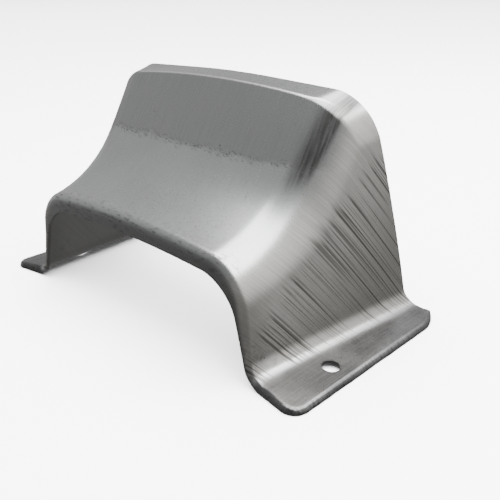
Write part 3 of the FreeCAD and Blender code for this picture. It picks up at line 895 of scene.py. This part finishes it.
def blend(share, first, second):
    made = tree.nodes.new("ShaderNodeMix")
    made.data_type = "RGBA"
    for spot, value in ((0, share), (6, first), (7, second)):
        if isinstance(value, bpy.types.NodeSocket):
            tree.links.new(value, made.inputs[spot])
        else:
            made.inputs[spot].default_value = (*value, 1.0)
    return made.outputs[2]


glazes = (
    (times(shaded, 0.75), (0.30, 0.288, 0.27)),
    (ramp(foot, 0.55, 1.0), (0.065, 0.065, 0.066)),
    (times(upper, 0.75), (0.22, 0.224, 0.224)),
    # Painted dark reflection beside the ridge.
    (times(painted_corner_reflection, 0.94), (0.032, 0.031, 0.03)),
    (ramp(cloud, 0.35, 0.7, 0.0, 0.25), (0.28, 0.28, 0.27)),
    (times(brushed, 0.2), (0.2, 0.2, 0.2)),
    (times(streaks, 0.25), (0.17, 0.16, 0.15)),
    # Painted highlight along the crest of the tight crease.
    (times(crest_highlight, 0.75), (0.75, 0.75, 0.74)),
    # Painted shade on the fronts of the legs.
    (times(leg_shade, 0.55), (0.14, 0.135, 0.125)),
    (times(scored, 0.85), (0.055, 0.052, 0.048)),
    (times(speckle, 0.75), (0.1, 0.1, 0.1)),
    (times(scuffs, 0.7), (0.12, 0.12, 0.118)),
    (times(pits, 0.85), (0.04, 0.04, 0.04)),
    (times(nicks, 0.7), (0.06, 0.06, 0.06)),
    (times(stain, 0.55), (0.1, 0.095, 0.088)),
    # Painted shade on the turned down rim and in the screw holes.
    (ramp(rim, 0.45, 0.85, 0.0, 0.8), (0.07, 0.07, 0.068)),
    # Painted shade on the inner side, under the hood.
    (times(inner, 0.85), (0.12, 0.12, 0.118)),
)
tone = blend(wall, TOP_GREY, WALL_GREY)
for share, colour in glazes:
    tone = blend(share, tone, colour)
tree.links.new(tone, shader.inputs["Base Color"])
print("steel has", len(glazes), "glazes over its two greys")

# %% [markdown]
# Bare steel is all metal. Its gloss breaks up where it was scored or scuffed, and the inner side is duller. The finest
# marks are too small for the mesh, so a bump of a few hundredths of a millimetre, a guessed depth, gives them edges.

# %% Gloss and relief of the steel
GLOSS, BUMP_SHARE, BUMP_DEEP = 0.25, 0.35, 0.00006
shader.inputs["Metallic"].default_value = 1.0
matt = math_node("MULTIPLY_ADD", fine, 0.06, GLOSS)
for more in (times(scored, 0.2), times(plus(speckle, scuffs), 0.15), times(inner, 0.15)):
    matt = plus(matt, more)
tree.links.new(matt, shader.inputs["Roughness"])
relief = plus(times(brush, 0.25), times(plus(scored, pits), -1.0))
relief = plus(relief, times(streaks, -0.3))
bump = tree.nodes.new("ShaderNodeBump")
bump.inputs["Strength"].default_value = BUMP_SHARE
bump.inputs["Distance"].default_value = BUMP_DEEP
tree.links.new(relief, bump.inputs["Height"])
tree.links.new(bump.outputs[0], shader.inputs["Normal"])
thick.materials.clear()
thick.materials.append(steel)
print("steel has", len(tree.nodes), "nodes in all")

# %% [markdown]
# ## Camera, floor and light
# The camera stands where the part is seen from its right front corner, a little from above. Its place and lens were
# fitted to known corners of the part, which is more exact than turning it by eye.

# %% Camera
YAW, PITCH = math.radians(43.506), math.radians(22.893)
FOCAL_PIXELS, IMAGE_PIXELS, SENSOR = 666.82, 500, 36.0
camera = bpy.data.objects.new("camera", bpy.data.cameras.new("camera"))
bpy.context.scene.collection.objects.link(camera)
camera.data.sensor_width = SENSOR
camera.data.lens = FOCAL_PIXELS / IMAGE_PIXELS * SENSOR
camera.data.clip_start = 0.01
camera.location = (0.1691, -0.1557, 0.1134)
forward = Vector((-math.sin(YAW) * math.cos(PITCH), math.cos(YAW) * math.cos(PITCH), -math.sin(PITCH)))
camera.rotation_euler = forward.to_track_quat("-Z", "Y").to_euler()
bpy.context.scene.camera = camera
print("camera has a lens of", round(camera.data.lens, 1), "mm")

# %% [markdown]
# The part stands on a plain pale floor. A white floor would fill every highlight of the steel from below, so the floor
# is left out of its reflections.

# %% Floor
FLOOR_HALF = 3
floor_mesh = bpy.data.meshes.new("floor")
floor_mesh.from_pydata([(side * FLOOR_HALF, end * FLOOR_HALF, 0) for side, end in ((-1, -1), (1, -1), (1, 1), (-1, 1))],
                       [], [(0, 1, 2, 3)])
floor = bpy.data.objects.new("floor", floor_mesh)
bpy.context.scene.collection.objects.link(floor)
floor.visible_glossy = False
paper = bpy.data.materials.new("paper")
paper.use_nodes = True
paper.node_tree.nodes["Principled BSDF"].inputs["Base Color"].default_value = (0.9, 0.9, 0.9, 1.0)
paper.node_tree.nodes["Principled BSDF"].inputs["Roughness"].default_value = 0.8
floor_mesh.materials.append(paper)
print("floor is", 2 * FLOOR_HALF, "m wide")

# %% [markdown]
# Metal shows little but what it reflects, so the room matters more than the lamps. An image of a studio could light
# it, but two soft glows in a plain world are enough: a broad one from the left and a window from the right, behind.

# %% Light from the room
world = bpy.data.worlds.new("studio")
bpy.context.scene.world = world
world.use_nodes = True
room, sky = world.node_tree, world.node_tree.nodes["Background"]
look = room.nodes.new("ShaderNodeTexCoord")


def glow(direction, *steps):
    """A soft rise in brightness towards one direction; steps are the angle's cosines and the two strengths."""
    toward = room.nodes.new("ShaderNodeVectorMath")
    toward.operation = "DOT_PRODUCT"
    toward.inputs[1].default_value = Vector(direction).normalized()
    rise = room.nodes.new("ShaderNodeMapRange")
    rise.interpolation_type = "SMOOTHSTEP"
    for spot, amount in enumerate(steps, start=1):
        rise.inputs[spot].default_value = amount
    room.links.new(look.outputs["Generated"], toward.inputs[0])
    room.links.new(toward.outputs["Value"], rise.inputs[0])
    return rise.outputs[0]


both = room.nodes.new("ShaderNodeMath")
room.links.new(glow((-0.8, 0.35, 0.5), 0.0, 0.8, 0.43, 0.78), both.inputs[0])
room.links.new(glow((0.6, 0.45, 0.66), 0.45, 0.95, 0.0, 1.4), both.inputs[1])
room.links.new(both.outputs[0], sky.inputs["Strength"])
sky.inputs["Color"].default_value = (1.0, 1.0, 1.0, 1.0)
print("room has", len(room.nodes), "nodes")

# %% [markdown]
# One softbox hangs over the part, behind it and to the right, and draws the highlight on the ramp and the near ridge.
# A second, huge one only keeps the floor pale, so the steel doesn't mirror it.

# %% Softboxes


def softbox(name, place, target, size, power):
    light = bpy.data.lights.new(name, "AREA")
    light.shape = "RECTANGLE"
    light.size, light.size_y = size
    light.energy = power
    holder = bpy.data.objects.new(name, light)
    bpy.context.scene.collection.objects.link(holder)
    holder.location = place
    holder.rotation_euler = (Vector(target) - Vector(place)).to_track_quat("-Z", "Y").to_euler()
    return holder


overhead = softbox("overhead", (0.12, 0.21, 0.6), (0.12, 0.21, 0.0), (0.75, 0.87), 20.0)
paper_light = softbox("paper_light", (0.0, 0.0, 3.0), (0.0, 0.0, 0.0), (6.0, 6.0), 1100.0)
paper_light.visible_glossy = False
print("softboxes of", overhead.data.energy, "and", paper_light.data.energy, "W")
